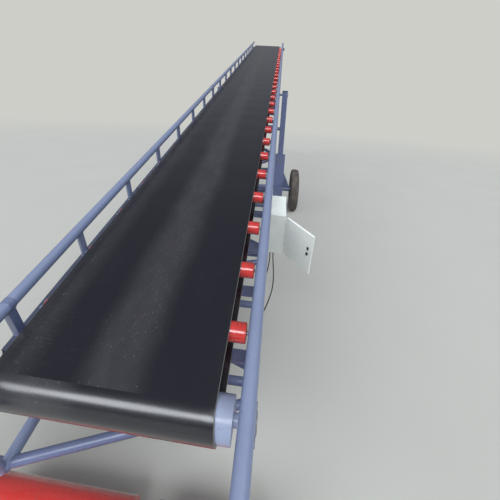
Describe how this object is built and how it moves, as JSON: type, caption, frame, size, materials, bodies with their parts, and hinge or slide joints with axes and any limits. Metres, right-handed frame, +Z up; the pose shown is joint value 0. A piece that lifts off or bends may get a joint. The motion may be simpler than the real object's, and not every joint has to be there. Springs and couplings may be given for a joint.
{
  "type": "mobile belt conveyor",
  "caption": "Inclined belt conveyor on a two-wheeled lifting carriage: a tube truss boom with red rollers, guard rails, ground rollers at the tail and a control cabinet.",
  "frame": {"origin": "on the floor under the middle of the whole machine's box", "axes": "+X to the right seen from the low end, +Y uphill along the boom, +Z up"},
  "size_m": [1.925, 9.4989, 4.0884],
  "materials": {
    "frame_paint": "gloss blue-grey paint, dusty",
    "drum_paint": "blue-grey paint, rubbed",
    "roller_red": "gloss red enamel",
    "belt_rubber": "smooth black rubber, dusty along the middle",
    "tyre_rubber": "ribbed, dusty",
    "rim_paint": "blue-grey paint",
    "cap_paint": "dark teal paint",
    "cabinet_paint": "off-white powder coat",
    "bearing_iron": "painted casting",
    "shaft_steel": "turned steel",
    "gland_plastic": "black",
    "lead_rubber": "black cable sheath"
  },
  "bodies": {
    "carriage": {"mast_housing_left": "frame_paint", "mast_housing_right": "frame_paint", "axle_beam": "frame_paint", "carriage_braces": "frame_paint"},
    "wheel_left": {"tyre_left": "tyre_rubber", "rim_left": "rim_paint"},
    "wheel_right": {"tyre_right": "tyre_rubber", "rim_right": "rim_paint"},
    "mast": {"mast_column_left": "frame_paint", "mast_column_right": "frame_paint", "mast_caps": "cap_paint", "mast_tie": "frame_paint"},
    "struts": {"strut_left": "frame_paint", "strut_right": "frame_paint"},
    "boom": {"side_frame_left": "frame_paint", "side_frame_right": "frame_paint", "deck_crossbars": "frame_paint", "lower_crossbars": "frame_paint", "lower_bracing": "frame_paint", "carry_rollers": "roller_red", "return_rollers": "roller_red", "belt": "belt_rubber", "tail_drum": "drum_paint", "head_drum": "drum_paint", "tail_take_up_left": "bearing_iron", "tail_take_up_right": "bearing_iron", "head_bearing_left": "bearing_iron", "head_bearing_right": "bearing_iron", "roller_hanger_left": "frame_paint", "roller_hanger_right": "frame_paint", "ground_shaft": "shaft_steel", "cabinet_box": "cabinet_paint", "cable_glands": "gland_plastic", "supply_lead": "lead_rubber", "control_lead": "lead_rubber"},
    "ground_roller_left": {"ground_roller_left": "roller_red"},
    "ground_roller_right": {"ground_roller_right": "roller_red"},
    "cabinet_door": {"cabinet_door": "cabinet_paint"}
  },
  "joints": [
    {"name": "wheel_left_spin", "type": "hinge", "parent": "carriage", "child": "wheel_left", "pos_m": [-0.89, 0.06271, 0.3825], "axis": [1, 0, 0], "continuous": true},
    {"name": "wheel_right_spin", "type": "hinge", "parent": "carriage", "child": "wheel_right", "pos_m": [0.89, 0.06271, 0.3825], "axis": [1, 0, 0], "continuous": true},
    {"name": "mast_slide", "type": "slide", "parent": "carriage", "child": "mast", "axis": [0, 0, 1], "range_m": [-0.43, 0.275]},
    {"name": "boom_lift", "type": "hinge", "parent": "mast", "child": "boom", "pos_m": [0, 0.06271, 2.12], "axis": [1, 0, 0], "range_deg": [-5.5, 3.5]},
    {"name": "strut_swing", "type": "hinge", "parent": "carriage", "child": "struts", "pos_m": [0, -0.02229, 0.3825], "axis": [1, 0, 0], "range_deg": [-4.9, 7.6]},
    {"name": "ground_roller_left_spin", "type": "hinge", "parent": "boom", "child": "ground_roller_left", "pos_m": [-0.3, -4.34129, 0.1095], "axis": [1, 0, 0], "continuous": true},
    {"name": "ground_roller_right_spin", "type": "hinge", "parent": "boom", "child": "ground_roller_right", "pos_m": [0.3, -4.34129, 0.1095], "axis": [1, 0, 0], "continuous": true},
    {"name": "cabinet_door_hinge", "type": "hinge", "parent": "boom", "child": "cabinet_door", "pos_m": [0.621, -3.16215, 0.87034], "axis": [0, -0.3297, 0.9441], "range_deg": [-30, 134]}
  ],
  "couplings": [
    {"joint": "mast_slide", "follows": "boom_lift", "m_per_rad": 4.404},
    {"joint": "strut_swing", "follows": "boom_lift", "ratio": -1.35}
  ]
}
